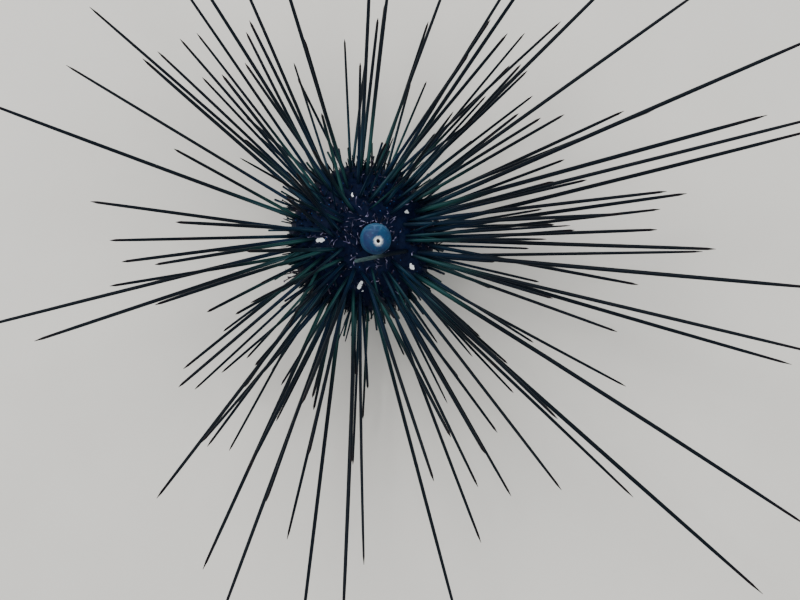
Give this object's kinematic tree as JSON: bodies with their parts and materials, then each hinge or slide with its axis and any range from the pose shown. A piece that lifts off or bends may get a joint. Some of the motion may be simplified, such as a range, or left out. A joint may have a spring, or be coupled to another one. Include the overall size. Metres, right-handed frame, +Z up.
{
  "type": "long-spined sea urchin",
  "caption": "Life-size black sea urchin with a low rounded shell, very long thin spines on all sides, white spots and a domed anal sac, resting on its lower spines.",
  "frame": {"origin": "on the floor that the animal rests on, under the middle of its box", "axes": "+Z up, +X to the right and +Y to the top of the view from straight above; the anal side is up and leans over to +X"},
  "size_m": [0.3683, 0.3166, 0.154],
  "materials": {
    "spine_and_skin": "satin black spines and skin with a dark green and violet cast",
    "apical_plate": "matt dark skin over plates",
    "anal_sac_skin": "wet steel-blue skin with a white ring round the pore",
    "mouth_skin": "soft dark skin with pale teeth"
  },
  "bodies": {
    "root": {"interambulacrum_1": "spine_and_skin", "interambulacrum_2": "spine_and_skin", "interambulacrum_3": "spine_and_skin", "interambulacrum_4": "spine_and_skin", "interambulacrum_5": "spine_and_skin", "ambulacrum_1": "spine_and_skin", "ambulacrum_2": "spine_and_skin", "ambulacrum_3": "spine_and_skin", "ambulacrum_4": "spine_and_skin", "ambulacrum_5": "spine_and_skin", "apical_disc": "apical_plate", "anal_sac": "anal_sac_skin", "peristome": "mouth_skin"}
  },
  "joints": []
}
